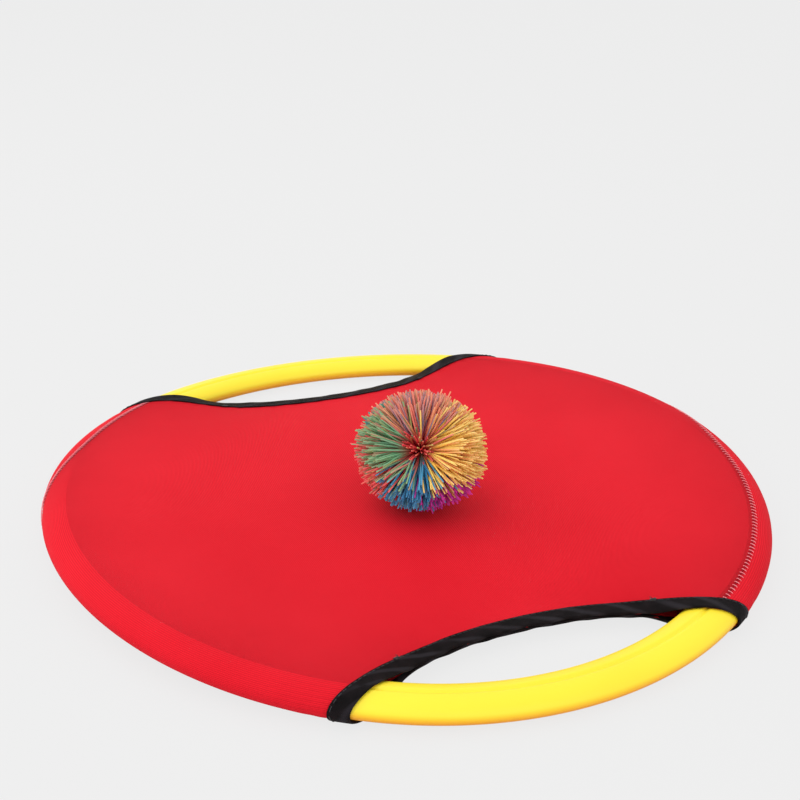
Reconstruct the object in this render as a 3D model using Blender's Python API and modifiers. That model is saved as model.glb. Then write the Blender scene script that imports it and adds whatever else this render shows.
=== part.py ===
"""Bouncy paddle ball set: a hoop paddle in a stretched fabric cover with two hand grips, and a
rubber strand ball that rests on it.

The frame: +Z up, the origin under the middle of the paddle on the surface it stands on, the two
hand grips at -Y (front) and +Y (rear), the cover's two seams along the -X and +X rims. All sizes
are in metres and all angles in degrees until they are used.
"""

import math
import random

import bmesh
import bpy
from mathutils import Matrix, Vector

# Hoop
HOOP_DIAMETER = 0.360
HOOP_WIDTH = 0.0217
HOOP_HEIGHT = 0.0114
HOOP_RISE = 0.0083  # how much higher its covered sides stand than its bare handles
FOOT_WIDTH = 0.0040  # the flat under its section
GROOVE_INSET = 0.0099  # from its inner edge to the middle of the groove along its top
GROOVE_WIDTH = 0.0034
GROOVE_DEPTH = 0.0006

# Cover
COVER_CLEARANCE = 0.0004  # from the hoop to the fabric
FABRIC_THICKNESS = 0.0005
LAYER_GAP = 0.0003  # between two pieces that lie on each other
FRONT_GRIP_DEPTH = 0.0304  # from the hoop's inner edge to the cover, in the middle of a grip
REAR_GRIP_DEPTH = 0.0336
FRONT_GRIP_ANGLE = 55.2  # of the hoop's circle that a grip leaves bare
REAR_GRIP_ANGLE = 65.0
FRONT_EDGE_LEAN = 33.0  # by which a grip's edge crosses the hoop away from squarely
REAR_EDGE_LEAN = 56.0
EDGE_STRAIGHTNESS = 0.58  # share of a grip's half width over which its edge runs nearly straight
EDGE_TURN = 0.020  # length over which that edge turns to cross the hoop
JOINED_SETBACK = 0.0123  # from the hoop's inner edge to where the panels part at a grip's edge
CENTRE_DIP = 0.35  # how far the panels draw together at the middle, as a share of that

# Seams: on the hoop's top shoulder for one half of each rim, and under it for the other half
SEAM_HIGH = 76.0
SEAM_LOW = -60.0
LEFT_SEAM_TURN_START = -36.0
LEFT_SEAM_TURN_END = 12.0
RIGHT_SEAM_TURN_START = -14.0
RIGHT_SEAM_TURN_END = 44.0
SEAM_WIDTH = 0.0042
SEAM_NECK_WIDTH = 0.0026
SEAM_THICKNESS = 0.0006
STITCH_PITCH = 0.0078

# Binding
BINDING_WIDTH = 0.0070
BINDING_THICKNESS = 0.0004
BINDING_LIP = 0.0010
TACK_SPREAD = 0.123  # between the two stitched tacks of a grip
TACK_LENGTH = 0.0060
TACK_DIAMETER = 0.0009

# Ball
BALL_DIAMETER = 0.0676
BALL_HEIGHT = 0.061
BALL_PLACE = (-0.0040, -0.0231)
BALL_SETTLE = 0.0010  # how far its lowest strands bend under its weight
BALL_CORE = 0.0125  # radius at which the strands part from each other
BALL_TIE_DIAMETER = 0.0100
STRAND_TIP_SHARE = 0.5
STRAND_TIP_DRIFT = 0.0008
STRAND_LENGTH_SPREAD = 0.0022

# Mesh fineness
HOOP_STEPS = 84
HOOP_SECTION_STEPS = 16
PANEL_ROWS = 26
SPAN_STEPS = 10
WRAP_STEPS = 9
BINDING_WRAP_STEPS = 10
SHADE_ANGLE = 40.0

CROWN_RADIUS = (HOOP_DIAMETER - HOOP_WIDTH) / 2
SADDLE = HOOP_RISE / 2
HALF_STEP = math.pi / HOOP_STEPS
FOOT_ANGLE = math.asin(FOOT_WIDTH / HOOP_WIDTH)
FOOT_DROP = HOOP_HEIGHT / 2 * math.cos(FOOT_ANGLE)
MID_HEIGHT = FOOT_DROP + SADDLE * math.cos(2 * HALF_STEP)
FRONT_EDGE = HOOP_DIAMETER / 2 - HOOP_WIDTH - FRONT_GRIP_DEPTH
REAR_EDGE = HOOP_DIAMETER / 2 - HOOP_WIDTH - REAR_GRIP_DEPTH
FRONT_END = math.radians(90 - FRONT_GRIP_ANGLE / 2)
REAR_END = math.radians(90 - REAR_GRIP_ANGLE / 2)
FRONT_LEAN = math.radians(FRONT_EDGE_LEAN)
REAR_LEAN = math.radians(REAR_EDGE_LEAN)
JOINED_RADIUS = HOOP_DIAMETER / 2 - HOOP_WIDTH - JOINED_SETBACK
BALL_FLATNESS = BALL_HEIGHT / BALL_DIAMETER
TOP, BOTTOM = 1, -1
LEFT, RIGHT = -1, 1
FRONT, REAR = -1, 1

FABRIC_OUTSIDE = COVER_CLEARANCE + FABRIC_THICKNESS
BINDING_INSIDE = FABRIC_OUTSIDE + LAYER_GAP
BINDING_OUTSIDE = BINDING_INSIDE + BINDING_THICKNESS

# Colour, roughness and metallic value of each material
YELLOW_PLASTIC = ("yellow_plastic", (0.97, 0.72, 0.02), 0.42, 0.0)
RED_FABRIC = ("red_fabric", (0.78, 0.02, 0.04), 0.85, 0.0)
RED_THREAD = ("red_thread", (0.88, 0.12, 0.14), 0.7, 0.0)
BLACK_TAPE = ("black_tape", (0.02, 0.02, 0.024), 0.75, 0.0)
BLACK_THREAD = ("black_thread", (0.012, 0.012, 0.014), 0.7, 0.0)
GREY_TIE = ("grey_tie", (0.25, 0.25, 0.26), 0.6, 0.0)

# Each bundle of strands: its colour, and the way it points, as right, up and towards the front left
STRANDS = {
    "yellow": ((0.86, 0.55, 0.09), (0.80, 0.25, 0.45)),
    "orange": ((0.88, 0.38, 0.12), (0.55, -0.20, -0.80)),
    "red": ((0.84, 0.08, 0.09), (-0.85, -0.38, 0.20)),
    "green": ((0.10, 0.36, 0.16), (-0.62, 0.45, 0.50)),
    "blue": ((0.04, 0.22, 0.42), (-0.12, -0.78, 0.60)),
    "purple": ((0.38, 0.03, 0.36), (0.45, -0.85, 0.10)),
    "mauve": ((0.45, 0.20, 0.24), (-0.08, 0.92, -0.05)),
    "teal": ((0.05, 0.38, 0.34), (-0.50, -0.10, -0.85)),
}
BALL_RIGHT = Vector((0.923, -0.384, 0.0)).normalized()
BALL_UP = Vector((0.0, 0.0, 1.0))
BALL_TOWARDS = BALL_RIGHT.cross(BALL_UP)


def smooth(low, high, value):
    """0 below low, 1 above high, and an even curve between them."""
    share = min(max((value - low) / (high - low), 0.0), 1.0)
    return share * share * (3 - 2 * share)


def steps(start, end, count):
    return [start + (end - start) * i / count for i in range(count + 1)]


# The surface that everything on the paddle is laid out on. Rows of the cover run across it, from
# row -1 along the front grip's edge to row 1 along the rear one's


def between_grips(front, rear, row):
    """A value that runs from -front at row -1, through 0 at row 0, to rear at row 1."""
    return (rear + front) / 2 * row + (rear - front) / 2 * row * row


def edge_rate(grip):
    """Metres between rows at a grip's edge, for each unit of row."""
    return (REAR_EDGE + FRONT_EDGE) / 2 + grip * (REAR_EDGE - FRONT_EDGE)


def rim_azimuth(row):
    """Where a row crosses the hoop's crown on the right, as an angle from +X.

    At a grip's edge the rows lie as far apart there, measured squarely, as in the middle.
    """
    front_rate = edge_rate(FRONT) / CROWN_RADIUS / math.cos(FRONT_LEAN)
    rear_rate = edge_rate(REAR) / CROWN_RADIUS / math.cos(REAR_LEAN)
    odd = (rear_rate + front_rate) / 2 - (REAR_END + FRONT_END) / 2
    even = (rear_rate - front_rate) / 2 - (REAR_END - FRONT_END)
    place = between_grips(FRONT_END, REAR_END, row)
    return place + odd / 2 * (row**3 - row) + even / 2 * (row**4 - row**2)


def lean_slope(row):
    """How far a row moves along the rim for each metre that it goes outward across the hoop."""
    return -between_grips(math.tan(FRONT_LEAN), math.tan(REAR_LEAN), row)


def row_at(inset, grip):
    """The row that lies this far inside a grip's edge."""
    return grip * (1 - inset / edge_rate(grip))


def rim_point(azimuth, turn, lift):
    """A point outside the hoop's section, turned up from the outward direction."""
    half_width, half_height = HOOP_WIDTH / 2, HOOP_HEIGHT / 2
    outward, upward = math.cos(turn) / half_width, math.sin(turn) / half_height
    length = math.hypot(outward, upward)
    radius = CROWN_RADIUS + half_width * math.cos(turn) + lift * outward / length
    height = MID_HEIGHT + SADDLE * math.cos(2 * azimuth)
    height += half_height * math.sin(turn) + lift * upward / length
    return Vector((radius * math.cos(azimuth), radius * math.sin(azimuth), height))


def turn_rate(turn):
    """Metres along the hoop's section for each radian of turn."""
    return math.hypot(HOOP_WIDTH / 2 * math.sin(turn), HOOP_HEIGHT / 2 * math.cos(turn))


def wrap_point(row, rim, turn, lift):
    """A point on a row where it goes round the hoop, leaning away from the nearer grip."""
    outward = HOOP_WIDTH / 2 * math.cos(turn)
    azimuth = rim_azimuth(row) + lean_slope(row) * outward / CROWN_RADIUS
    return rim_point(azimuth if rim == RIGHT else math.pi - azimuth, turn, lift)


def span_plan(row, share):
    """Plan position on a row, from share -1 at the left crown of the hoop to 1 at the right one."""
    azimuth = rim_azimuth(row)
    outward = Vector((math.cos(azimuth), math.sin(azimuth)))
    along = Vector((-outward.y, outward.x))
    end = outward * CROWN_RADIUS
    middle = Vector((0.0, between_grips(FRONT_EDGE, REAR_EDGE, row)))
    leave = middle + Vector((EDGE_STRAIGHTNESS * end.x, 0.0))
    arrive = end - (outward + along * lean_slope(row)).normalized() * EDGE_TURN
    s = abs(share)
    place = middle * (1 - s) ** 3 + leave * 3 * s * (1 - s) ** 2
    place += arrive * 3 * s * s * (1 - s) + end * s**3
    return math.copysign(place.x, share), place.y


def half_gap(row, radius):
    """From the paddle's middle surface to where the hoop's height would carry a panel."""
    drawn = 1 - smooth(JOINED_RADIUS * row * row, CROWN_RADIUS, radius)
    drawn *= CENTRE_DIP + (1 - CENTRE_DIP) * row * row
    joined = LAYER_GAP / 2 - COVER_CLEARANCE
    return HOOP_HEIGHT / 2 * (1 - drawn) + joined * drawn


def middle_height(x, y):
    return MID_HEIGHT + SADDLE * (x * x - y * y) / CROWN_RADIUS**2


def span_point(row, share, lift, side):
    """A point on a panel where it is stretched across the hoop."""
    x, y = span_plan(row, share)
    gap = half_gap(row, math.hypot(x, y))
    return Vector((x, y, middle_height(x, y) + side * (gap + lift)))


def cover_top(x, y):
    """Height of the top panel's outside near the middle of the paddle."""
    row = 2 * y / (FRONT_EDGE + REAR_EDGE)
    return middle_height(x, y) + half_gap(row, math.hypot(x, y)) + FABRIC_OUTSIDE


def seam_turn(row, rim):
    """Where a seam lies on the hoop's section: high at the front right and the rear left."""
    start, end = LEFT_SEAM_TURN_START, LEFT_SEAM_TURN_END
    if rim == RIGHT:
        start, end = RIGHT_SEAM_TURN_START, RIGHT_SEAM_TURN_END
    lowered = smooth(start, end, rim * math.degrees(rim_azimuth(row)))
    return math.radians(SEAM_HIGH + (SEAM_LOW - SEAM_HIGH) * lowered)


# Building


def clear_scene():
    for obj in list(bpy.data.objects):
        bpy.data.objects.remove(obj, do_unlink=True)


def new_collection(name):
    collection = bpy.data.collections.new(name)
    bpy.context.scene.collection.children.link(collection)
    return collection


def new_material(name, colour, roughness, metallic):
    found = bpy.data.materials.get(name)
    if found:
        return found
    material = bpy.data.materials.new(name)
    material.use_nodes = True
    shader = material.node_tree.nodes["Principled BSDF"]
    shader.inputs["Base Color"].default_value = (*colour, 1.0)
    shader.inputs["Roughness"].default_value = roughness
    shader.inputs["Metallic"].default_value = metallic
    return material


def new_object(name, mesh, material, collection):
    obj = bpy.data.objects.new(name, mesh)
    obj.data.materials.append(new_material(*material))
    collection.objects.link(obj)
    return obj


def mesh_from(name, bm):
    bmesh.ops.recalc_face_normals(bm, faces=bm.faces)
    mesh = bpy.data.meshes.new(name)
    bm.to_mesh(mesh)
    bm.free()
    mesh.shade_smooth()
    mesh.set_sharp_from_angle(angle=math.radians(SHADE_ANGLE))
    return mesh


def loft(name, rings, closed):
    """Faces between rings of points: a tube with flat ends, or a closed loop of tube."""
    bm = bmesh.new()
    lines = [[bm.verts.new(point) for point in ring] for ring in rings]
    count = len(lines[0])
    for i in range(len(lines) if closed else len(lines) - 1):
        first, second = lines[i], lines[(i + 1) % len(lines)]
        for j in range(count):
            k = (j + 1) % count
            bm.faces.new((first[j], first[k], second[k], second[j]))
    if not closed:
        bm.faces.new(lines[0])
        bm.faces.new(lines[-1])
    return mesh_from(name, bm)


def make_hoop(collection):
    """The hoop's section turned round Z, then bent up at its sides by the pull of the cover."""
    inner_edge = -HOOP_WIDTH / 2
    groove = inner_edge + GROOVE_INSET
    spread = 2 * math.pi - 2 * FOOT_ANGLE
    first = -math.pi / 2 + FOOT_ANGLE
    turns = [first + spread * i / HOOP_SECTION_STEPS for i in range(HOOP_SECTION_STEPS + 1)]
    lips = [groove + GROOVE_WIDTH / 2, groove, groove - GROOVE_WIDTH / 2]
    groove_turns = [math.acos(2 * lip / HOOP_WIDTH) for lip in lips]
    turns = [a for a in turns if not groove_turns[0] <= a <= groove_turns[2]]
    turns = sorted(turns + groove_turns, reverse=True)
    outline = []
    for a in turns:
        point = rim_point(0.0, a, -GROOVE_DEPTH if a == groove_turns[1] else 0.0)
        outline.append((point.x, 0.0, point.z - SADDLE))
    edges = [(i, (i + 1) % len(outline)) for i in range(len(outline))]
    section = bpy.data.meshes.new("hoop_section")
    section.from_pydata(outline, edges, [])
    turned = bpy.data.objects.new("hoop_section", section)
    collection.objects.link(turned)
    screw = turned.modifiers.new("Turn", "SCREW")
    screw.steps = screw.render_steps = HOOP_STEPS
    screw.use_merge_vertices = True
    screw.merge_threshold = 0.00001
    bpy.context.view_layer.update()
    evaluated = turned.evaluated_get(bpy.context.evaluated_depsgraph_get())
    mesh = bpy.data.meshes.new_from_object(evaluated)
    bpy.data.objects.remove(turned, do_unlink=True)

    # A facet, and not a corner, lies across the lowest place of each handle
    mesh.transform(Matrix.Rotation(HALF_STEP, 4, "Z"))
    for vertex in mesh.vertices:
        vertex.co.z += SADDLE * math.cos(2 * math.atan2(vertex.co.y, vertex.co.x))
    bm = bmesh.new()
    bm.from_mesh(mesh)
    new_object("hoop", mesh_from("hoop", bm), YELLOW_PLASTIC, collection)


def make_panel(name, side, collection):
    """One panel of the cover, from seam to seam, with its raw edges inside the bindings."""
    raw_edges = [row_at(BINDING_LIP + LAYER_GAP, grip) for grip in (FRONT, REAR)]
    taped = [row_at(BINDING_WIDTH, grip) for grip in (FRONT, REAR)]
    crown = side * math.pi / 2
    bm = bmesh.new()
    lines = []
    rows = [raw_edges[0], *steps(*taped, PANEL_ROWS), raw_edges[1]]
    for row in rows:
        points = []
        for rim in (LEFT, RIGHT):
            seam = seam_turn(row, rim)
            seam += side * LAYER_GAP / 2 / turn_rate(seam)
            turns = steps(seam, crown, WRAP_STEPS)
            points.append([wrap_point(row, rim, a, COVER_CLEARANCE) for a in turns])
        span = [span_point(row, s, COVER_CLEARANCE, side) for s in steps(-1.0, 1.0, 2 * SPAN_STEPS)]
        line = points[0] + span[1:-1] + points[1][::-1]
        lines.append([bm.verts.new(point) for point in line[::side]])
    for row, first, second in zip(rows, lines, lines[1:]):
        for j in range(len(first) - 1):
            corners = [first[j], first[j + 1], second[j + 1], second[j]]
            # The faces split along lines that run as the tape's do, at the front and at the rear
            bm.faces.new(corners if row < 0 else corners[1:] + corners[:1])
    mesh = bpy.data.meshes.new(name)
    bm.to_mesh(mesh)
    bm.free()
    mesh.shade_smooth()
    panel = new_object(name, mesh, RED_FABRIC, collection)
    shell = panel.modifiers.new("Fabric", "SOLIDIFY")
    shell.thickness = FABRIC_THICKNESS
    shell.offset = 1.0


def mouth_loop(inset, lift, grip):
    """Points all round one mouth of the cover, over the hoop at both ends and back underneath."""
    row = row_at(inset, grip)
    shares = steps(-1.0, 1.0, 2 * SPAN_STEPS)
    turns = steps(math.pi / 2, -math.pi / 2, BINDING_WRAP_STEPS)[1:-1]
    points = [span_point(row, s, lift, TOP) for s in shares]
    points += [wrap_point(row, RIGHT, a, lift) for a in turns]
    points += [span_point(row, s, lift, BOTTOM) for s in reversed(shares)]
    points += [wrap_point(row, LEFT, a, lift) for a in reversed(turns)]
    return points


def make_binding(name, grip, collection):
    """Tape laid over a mouth's edge, with its lip turned down over the panels' raw edge."""
    corner = BINDING_THICKNESS
    section = [
        (BINDING_WIDTH, BINDING_INSIDE),
        (BINDING_WIDTH, BINDING_OUTSIDE),
        (corner, BINDING_OUTSIDE),
        (0.0, BINDING_OUTSIDE - corner),
        (0.0, COVER_CLEARANCE + corner),
        (corner, COVER_CLEARANCE),
        (BINDING_LIP, COVER_CLEARANCE),
        (BINDING_LIP, BINDING_INSIDE),
    ]
    rings = [mouth_loop(inset, lift, grip) for inset, lift in section]
    new_object(name, loft(name, rings, closed=True), BLACK_TAPE, collection)


def make_seam(name, rim, collection):
    """The overlocked seam along one rim: a flat ladder of thread, widened at each stitch."""
    first, last = (row_at(BINDING_WIDTH + LAYER_GAP, grip) for grip in (FRONT, REAR))
    low = FABRIC_OUTSIDE + LAYER_GAP
    high = low + SEAM_THICKNESS
    length = (rim_azimuth(last) - rim_azimuth(first)) * HOOP_DIAMETER / 2
    count = 2 * round(length / STITCH_PITCH)
    rings = []
    for i, row in enumerate(steps(first, last, count)):
        middle = seam_turn(row, rim)
        half = (SEAM_WIDTH if i % 2 else SEAM_NECK_WIDTH) / 2 / turn_rate(middle)
        across = (middle - half, middle, middle + half)
        ring = [wrap_point(row, rim, a, low) for a in across]
        ring += [wrap_point(row, rim, a, high) for a in reversed(across)]
        rings.append(ring)
    new_object(name, loft(name, rings, closed=False), RED_THREAD, collection)


def share_at(row, x):
    """The share along a row at which it is this far to the right."""
    low, high = -1.0, 1.0
    for _ in range(40):
        middle = (low + high) / 2
        if span_plan(row, middle)[0] < x:
            low = middle
        else:
            high = middle
    return low


def make_tack(name, grip, x, collection):
    """A short bar of black thread through both bindings, at an end of their joined stretch."""
    lift = BINDING_OUTSIDE + LAYER_GAP + TACK_DIAMETER / 2
    row = row_at(BINDING_WIDTH - TACK_DIAMETER, grip)
    curve = bpy.data.curves.new(name, "CURVE")
    curve.dimensions = "3D"
    curve.bevel_depth = TACK_DIAMETER / 2
    curve.bevel_resolution = 1
    curve.use_fill_caps = True
    spline = curve.splines.new("POLY")
    places = steps(x - TACK_LENGTH / 2, x + TACK_LENGTH / 2, 3)
    spline.points.add(len(places) - 1)
    for point, place in zip(spline.points, places):
        point.co = (*span_point(row, share_at(row, place), lift, TOP), 1.0)
    new_object(name, curve, BLACK_THREAD, collection)


def ball_centre():
    x, y = BALL_PLACE
    return Vector((x, y, cover_top(x, y) + LAYER_GAP + BALL_HEIGHT / 2 - BALL_SETTLE))


def make_tie(collection):
    """The band at the ball's centre that holds all its strands."""
    bm = bmesh.new()
    bmesh.ops.create_uvsphere(bm, u_segments=16, v_segments=8, radius=BALL_TIE_DIAMETER / 2)
    bmesh.ops.scale(bm, verts=bm.verts, vec=(1.0, 1.0, BALL_FLATNESS))
    bmesh.ops.translate(bm, verts=bm.verts, vec=ball_centre())
    new_object("ball_tie", mesh_from("ball_tie", bm), GREY_TIE, collection)


def strand_directions():
    directions = {}
    for name, (_, (right, up, towards)) in STRANDS.items():
        way = BALL_RIGHT * right + BALL_UP * up + BALL_TOWARDS * towards
        directions[name] = way.normalized()
    return directions


def nearest_bundle(way, directions):
    return max(directions, key=lambda name: directions[name].dot(way))


def shrink_border(bm, distance):
    """Draws a patch of faces in from its neighbours, so that bundles lie clear of each other."""
    moves = {}
    for vertex in bm.verts:
        if vertex.is_boundary:
            centre = sum((face.calc_center_median() for face in vertex.link_faces), Vector())
            inward = centre / len(vertex.link_faces) - vertex.co
            moves[vertex] = inward.normalized() * distance
    for vertex, move in moves.items():
        vertex.co += move


def make_strands(name, directions, rng, collection):
    """A bundle of strands: one root, parted at the core into tufts that run out to the surface."""
    root = BALL_TIE_DIAMETER / 2 + LAYER_GAP
    centre = ball_centre()
    bm = bmesh.new()
    bmesh.ops.create_icosphere(bm, subdivisions=3, radius=root)
    others = [
        face
        for face in bm.faces
        if nearest_bundle(face.calc_center_median().normalized(), directions) != name
    ]
    bmesh.ops.delete(bm, geom=others, context="FACES")
    shrink_border(bm, LAYER_GAP * 2 / 3)
    grown = bmesh.ops.extrude_face_region(bm, geom=bm.faces[:], use_keep_orig=True)
    for vertex in (item for item in grown["geom"] if isinstance(item, bmesh.types.BMVert)):
        vertex.co *= BALL_CORE / root
    tops = [item for item in grown["geom"] if isinstance(item, bmesh.types.BMFace)]
    tufts = bmesh.ops.extrude_discrete_faces(bm, faces=tops)["faces"]
    for face in tufts:
        middle = face.calc_center_median()
        length = BALL_DIAMETER / 2 - rng.uniform(0.0, STRAND_LENGTH_SPREAD)
        drift = Vector([rng.uniform(-1.0, 1.0) for _ in range(3)]) * STRAND_TIP_DRIFT
        tip = middle.normalized() * length + drift
        widening = STRAND_TIP_SHARE * BALL_DIAMETER / 2 / BALL_CORE
        for vertex in face.verts:
            vertex.co = tip + (vertex.co - middle) * widening
    bmesh.ops.scale(bm, verts=bm.verts, vec=(1.0, 1.0, BALL_FLATNESS))
    bmesh.ops.translate(bm, verts=bm.verts, vec=centre)
    for vertex in bm.verts:
        vertex.co.z = max(vertex.co.z, cover_top(vertex.co.x, vertex.co.y) + LAYER_GAP)
    node = f"ball_strands_{name}"
    material = (f"{name}_rubber", STRANDS[name][0], 0.6, 0.0)
    new_object(node, mesh_from(node, bm), material, collection)


def main():
    clear_scene()
    parts = new_collection("bouncy_paddle_ball_set")
    make_hoop(parts)
    make_panel("cover_top_panel", TOP, parts)
    make_panel("cover_bottom_panel", BOTTOM, parts)
    make_seam("left_seam_thread", LEFT, parts)
    make_seam("right_seam_thread", RIGHT, parts)
    for place, grip in (("front", FRONT), ("rear", REAR)):
        make_binding(f"{place}_binding", grip, parts)
        make_tack(f"{place}_left_tack", grip, -TACK_SPREAD / 2, parts)
        make_tack(f"{place}_right_tack", grip, TACK_SPREAD / 2, parts)
    make_tie(parts)
    directions = strand_directions()
    rng = random.Random(7)
    for name in STRANDS:
        make_strands(name, directions, rng, parts)


main()
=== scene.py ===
"""The looks of the bouncy paddle ball set: its moulded hoop, its stretch knit cover with bound
mouths and overlocked seams, and its ball of rubber strands, in a plain studio.

The paddle's surface is laid out as in the part: a row runs across the cover from rim to rim, a
share runs along a row, a turn goes round the hoop's section, and a lift stands off the hoop or
off the panels' own surface. Sizes are in metres, and angles in degrees until they are used.
"""

import math

import bmesh
import bpy
import numpy as np
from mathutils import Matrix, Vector


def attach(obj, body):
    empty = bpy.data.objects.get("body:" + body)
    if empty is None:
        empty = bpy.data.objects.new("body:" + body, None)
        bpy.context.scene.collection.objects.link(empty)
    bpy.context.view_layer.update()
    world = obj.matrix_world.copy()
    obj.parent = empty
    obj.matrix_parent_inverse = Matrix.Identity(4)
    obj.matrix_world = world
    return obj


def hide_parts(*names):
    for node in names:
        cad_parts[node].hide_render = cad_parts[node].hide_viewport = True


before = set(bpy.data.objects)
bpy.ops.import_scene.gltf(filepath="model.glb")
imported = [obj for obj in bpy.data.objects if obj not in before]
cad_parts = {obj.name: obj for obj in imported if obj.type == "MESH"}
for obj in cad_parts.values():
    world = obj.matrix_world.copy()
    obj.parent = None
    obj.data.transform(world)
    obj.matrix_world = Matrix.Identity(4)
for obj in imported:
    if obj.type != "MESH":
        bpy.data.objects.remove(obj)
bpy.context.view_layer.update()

# Sides
TOP, BOTTOM = 1, -1
LEFT, RIGHT = -1, 1
FRONT, REAR = -1, 1

# Hoop
HOOP_DIAMETER = 0.360
HOOP_WIDTH = 0.0217
HOOP_HEIGHT = 0.0114
HOOP_RISE = 0.0083
FOOT_WIDTH = 0.0040
GROOVE_INSET = 0.0099
GROOVE_WIDTH = 0.0018
GROOVE_DEPTH = 0.0009
HOOP_STEPS = 360
HOOP_SECTION_STEPS = 120
CAD_HOOP_STEPS = 84

# Cover
COVER_CLEARANCE = 0.0004
FABRIC_THICKNESS = 0.0005
LAYER_GAP = 0.0003
FRONT_GRIP_DEPTH = 0.0304
REAR_GRIP_DEPTH = 0.0336
FRONT_GRIP_ANGLE = 55.2
REAR_GRIP_ANGLE = 65.0
FRONT_EDGE_LEAN = 33.0
REAR_EDGE_LEAN = 56.0
EDGE_STRAIGHTNESS = 0.58
EDGE_TURN = 0.020
JOINED_SETBACK = 0.0123
CENTRE_DIP = 0.35
PANEL_STEPS = {TOP: (216, 120, 26), BOTTOM: (132, 80, 18)}  # rows, steps of the span and of each wrap
PUCKER_DEPTH = 0.00020
PUCKER_LENGTH = 0.0085
PUCKER_REACH = 0.0080
RIB_DEPTH = 0.00010
RIB_PITCH = 0.0011
RIB_SHARE = 0.5  # of the knit's own relief
RIB_START_ACROSS = (0.158, 0.170)  # from the paddle's middle, where the ribs come in
RIB_START_ALONG = (0.092, 0.116)
KNIT_PITCH = 0.00070
KNIT_COURSE = 0.00060

# Seams
SEAM_HIGH = 76.0
SEAM_LOW = -60.0
SEAM_TURN_START = {LEFT: -36.0, RIGHT: -14.0}
SEAM_TURN_END = {LEFT: 12.0, RIGHT: 44.0}
SEAM_VALLEY_DEPTH = 0.00040
SEAM_VALLEY_WIDTH = 0.0016
SEAM_SHADE = {LEFT: 1.0, RIGHT: 0.62}  # how deep its valley is, and how dark the painted shade in it, as a share
SEAM_SEED = 11
STITCH_PITCH = 0.0028
STITCH_LENGTH = 0.0025
STITCH_SLANT = 0.35  # of a pitch
THREAD_RADIUS = 0.00018
THREAD_TWIST = 0.0016  # length of one turn of its two plies

# Binding
BINDING_WIDTH = 0.0070
BINDING_THICKNESS = 0.0004
BINDING_PUFF = 0.00025
BINDING_FOLD_DEPTH = 0.00028
BINDING_FOLD_PITCH = 0.019
BINDING_EDGE_WAVE = 0.00050
INNER_LEAF = 0.0080
JOINED_LEAF = 0.0012
LEAF_DROP = 0.00025
FOLD_SHARE = 0.1  # of the tape's width
CLOTH_INSET = 0.0009
TAPE_TO_CLOTH = 0.00002
JOIN_BLEND = 0.004
TAPE_STEPS = (150, 34)  # across each panel and round each rim
TWILL_PITCH = 0.0008
TWILL_SLANT = 1.7
PICK_PITCH = 0.0005
HIGHLIGHT_SLANT = 2.4
TOPSTITCH_INSET = 0.0062
TOPSTITCH_PITCH = 0.0028
TOPSTITCH_LENGTH = 0.0019
TACK_SPREAD = 0.123
TACK_LENGTH = 0.0024
TACK_WIDTH = 0.0007
TACK_TURNS = 5
TACK_ENDS = ((-0.0011, 0.0009, 0.0019), (0.0016, 0.0004, 0.0012))  # right, inward and up

# Ball
BALL_DIAMETER = 0.0676
BALL_HEIGHT = 0.061
BALL_PLACE = (-0.0040, -0.0231)
BALL_SETTLE = 0.0010
BALL_ROOT = 0.0052
BALL_SEED = 5
BALL_WHORL = (-0.09, 0.56, 0.82)  # where its strands part, as right, up and towards the front left
BALL_CRATER = 34.0  # least angle between a strand's tip and the whorl
STRAND_COUNT = 3300
STRAND_CLUMP = 6
STRAND_STEPS = 8
STRAND_WIDTH = 0.00102
STRAND_REACH = 0.94  # of the ball's radius
SHORT_STRANDS, SHORT_REACH = 0.16, (0.68, 0.89)  # their share of all, and their least and most reach
LONG_STRANDS, LONG_REACH = 0.05, (0.96, 1.0)
CRATER_STRANDS = 60  # in each crater
CLUMP_SPREAD = 0.03
TIP_SPREAD = 0.055
COLOUR_SPREAD = 0.15
STRANDS = {  # the middle of each colour, as right, up and towards the front left
    "yellow": (0.80, 0.25, 0.45),
    "orange": (0.55, -0.20, -0.80),
    "red": (-0.84, -0.42, 0.18),
    "green": (-0.62, 0.43, 0.54),
    "blue": (-0.24, -0.80, 0.54),
    "purple": (0.40, -0.86, 0.32),
    "mauve": (-0.12, 0.93, 0.02),
    "teal": (-0.50, -0.10, -0.85),
}
STRAND_LOOKS = {  # screen levels near the core, of the single strands, and at their tips
    "yellow": (
        (228, 112, 84),
        [
            (250, 206, 92), (255, 220, 112), (244, 190, 78),
            (252, 210, 100), (222, 192, 92), (250, 170, 106),
        ],
        (255, 226, 150),
    ),
    "orange": (
        (230, 104, 86),
        [(250, 196, 90), (248, 182, 84), (240, 150, 92), (254, 214, 108), (246, 190, 80)],
        (255, 220, 144),
    ),
    "red": (
        (206, 50, 62),
        [
            (240, 84, 90), (246, 112, 104), (236, 70, 82),
            (204, 186, 110), (240, 136, 108), (110, 150, 104),
        ],
        (248, 110, 112),
    ),
    "green": (
        (206, 62, 70),
        [
            (118, 178, 132), (128, 184, 134), (104, 164, 124),
            (176, 188, 118), (204, 128, 116), (132, 184, 146),
        ],
        (158, 186, 140),
    ),
    "blue": (
        (128, 122, 88),
        [
            (52, 132, 182), (70, 150, 192), (54, 122, 172),
            (64, 146, 168), (150, 192, 128), (80, 160, 196),
        ],
        (84, 164, 216),
    ),
    "purple": (
        (146, 64, 96),
        [(196, 36, 160), (206, 48, 168), (172, 38, 148), (204, 60, 150), (132, 60, 150)],
        (222, 60, 184),
    ),
    "mauve": (
        (222, 78, 80),
        [
            (240, 132, 112), (246, 168, 122), (134, 128, 160),
            (232, 112, 108), (166, 160, 104), (198, 138, 136),
        ],
        (244, 160, 132),
    ),
    "teal": (
        (112, 122, 92),
        [(48, 132, 132), (66, 150, 142), (86, 142, 114), (54, 114, 138)],
        (102, 170, 160),
    ),
}
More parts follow.
